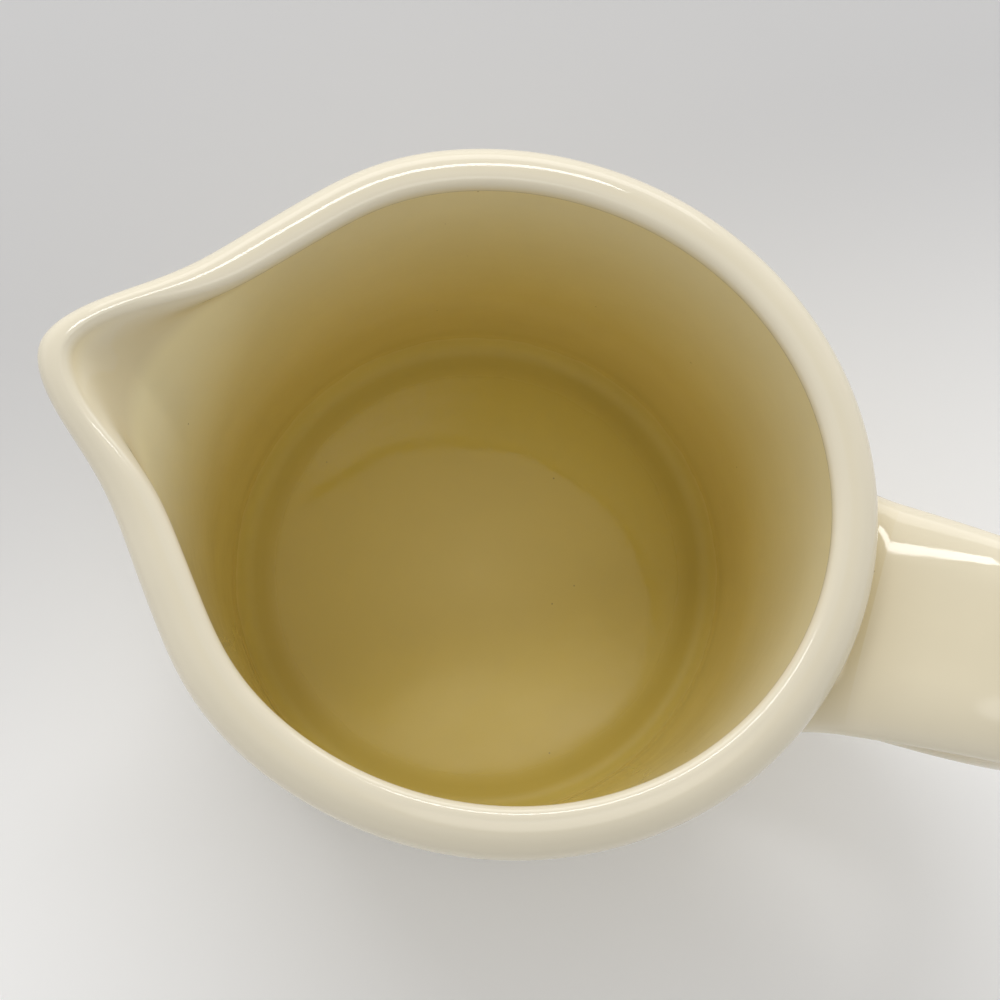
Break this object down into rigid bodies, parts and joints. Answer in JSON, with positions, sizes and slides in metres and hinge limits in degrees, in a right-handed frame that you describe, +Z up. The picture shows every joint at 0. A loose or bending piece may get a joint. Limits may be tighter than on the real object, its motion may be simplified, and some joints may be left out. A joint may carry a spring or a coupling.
{
  "type": "creamer",
  "caption": "Small straight-sided glazed ceramic creamer with a rolled rim, a pulled pouring lip, a foot ring and a broad strap handle stuck on with slip, for serving cream or milk.",
  "frame": {"origin": "on the table, under the middle of the whole length from the lip's tip to the handle's outer face", "axes": "+Z up, +X from the lip towards the handle, +Y to the left of someone who looks from the lip to the handle; y = 0 is the mirror plane"},
  "size_m": [0.1274, 0.08, 0.0725],
  "materials": {
    "body_glaze": "gloss cream glaze over stoneware, bare clay on the foot ring",
    "handle_glaze": "gloss cream glaze over stoneware",
    "joint_glaze": "gloss cream glaze, a little thicker in the hollow of the fillet"
  },
  "bodies": {
    "root": {"vessel_body": "body_glaze", "strap_handle": "handle_glaze", "upper_handle_joint": "joint_glaze", "lower_handle_joint": "joint_glaze"}
  },
  "joints": []
}
